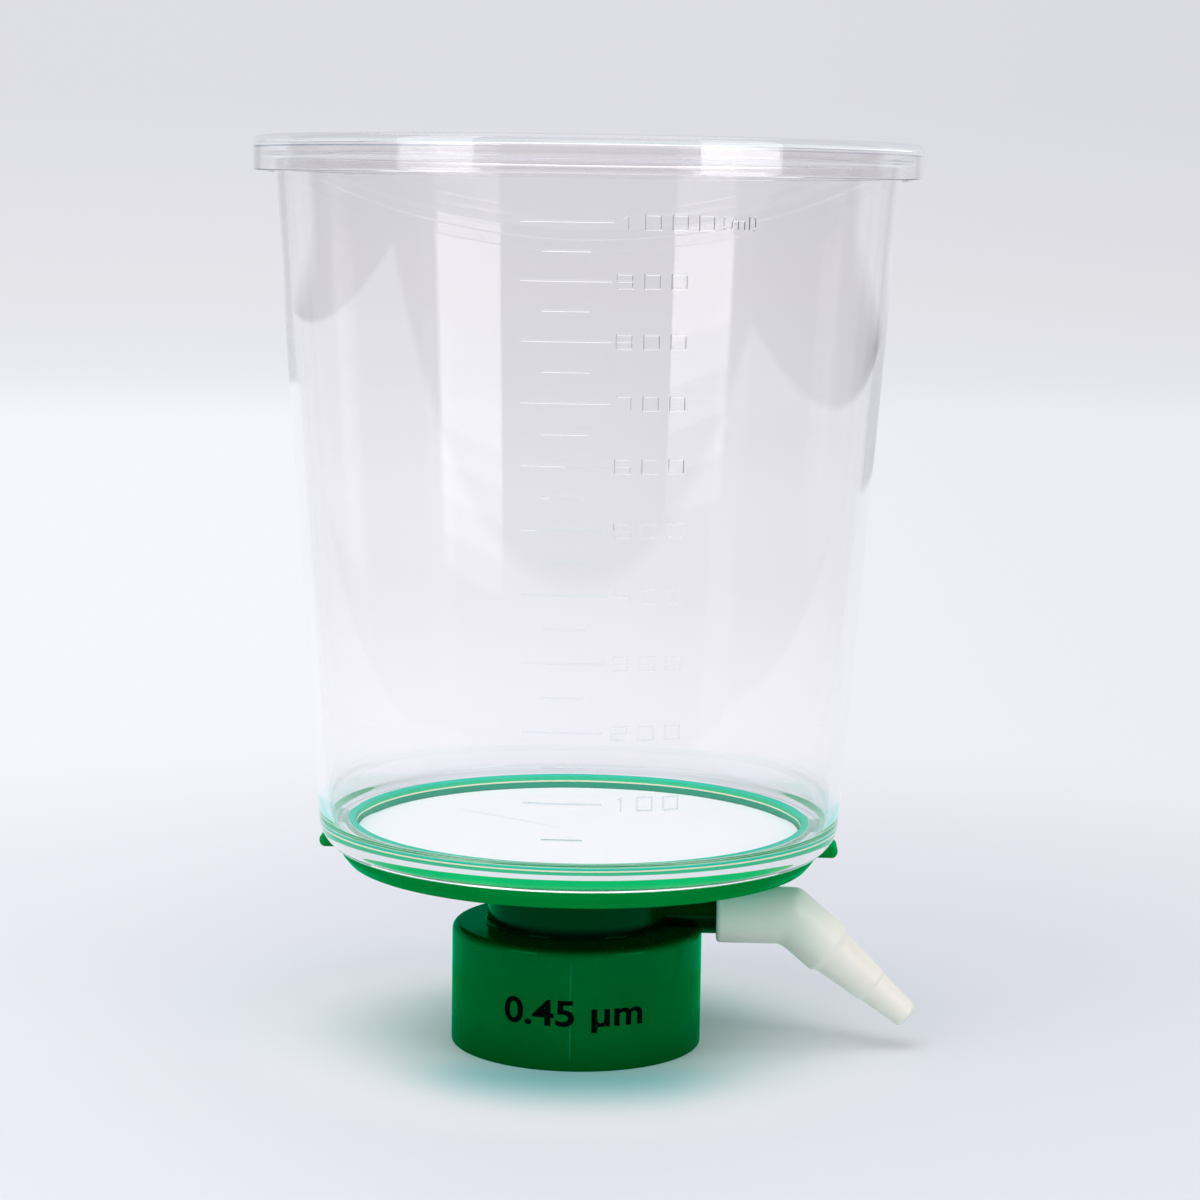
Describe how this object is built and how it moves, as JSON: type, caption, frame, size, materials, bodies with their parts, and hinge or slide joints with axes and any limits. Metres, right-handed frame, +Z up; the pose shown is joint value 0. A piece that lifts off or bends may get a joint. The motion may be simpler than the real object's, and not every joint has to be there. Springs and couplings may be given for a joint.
{
  "type": "vacuum filtration unit",
  "caption": "Bottle-top vacuum filter: clear graduated funnel with a loose lid, membrane on a green screw-on base, and a stepped elbow that swivels on the vacuum port.",
  "frame": {"origin": "on the unit's axis, in the plane of the collar's mouth, where the bottle enters and on which the unit stands", "axes": "+Z up along the funnel's axis, +X along the vacuum port, -Y towards the graduations"},
  "size_m": [0.1288, 0.126, 0.1736],
  "materials": {
    "clear_lid": "clear moulded polystyrene, polished",
    "clear_funnel": "clear moulded polystyrene, polished",
    "membrane": "matt white filter membrane",
    "green_base": "glossy moulded green plastic",
    "gasket": "soft pale elastomer",
    "ivory_adapter": "satin ivory plastic, slightly translucent"
  },
  "bodies": {
    "filter": {"lid": "clear_lid", "funnel": "clear_funnel", "membrane": "membrane", "base": "green_base", "collar": "green_base", "neck_gasket": "gasket"},
    "adapter": {"hose_adapter": "ivory_adapter"}
  },
  "joints": [
    {"name": "hose_adapter_swivel", "type": "hinge", "parent": "filter", "child": "adapter", "pos_m": [0.031, 0, 0.02545], "axis": [1, 0, 0], "range_deg": [-130, 130]}
  ]
}
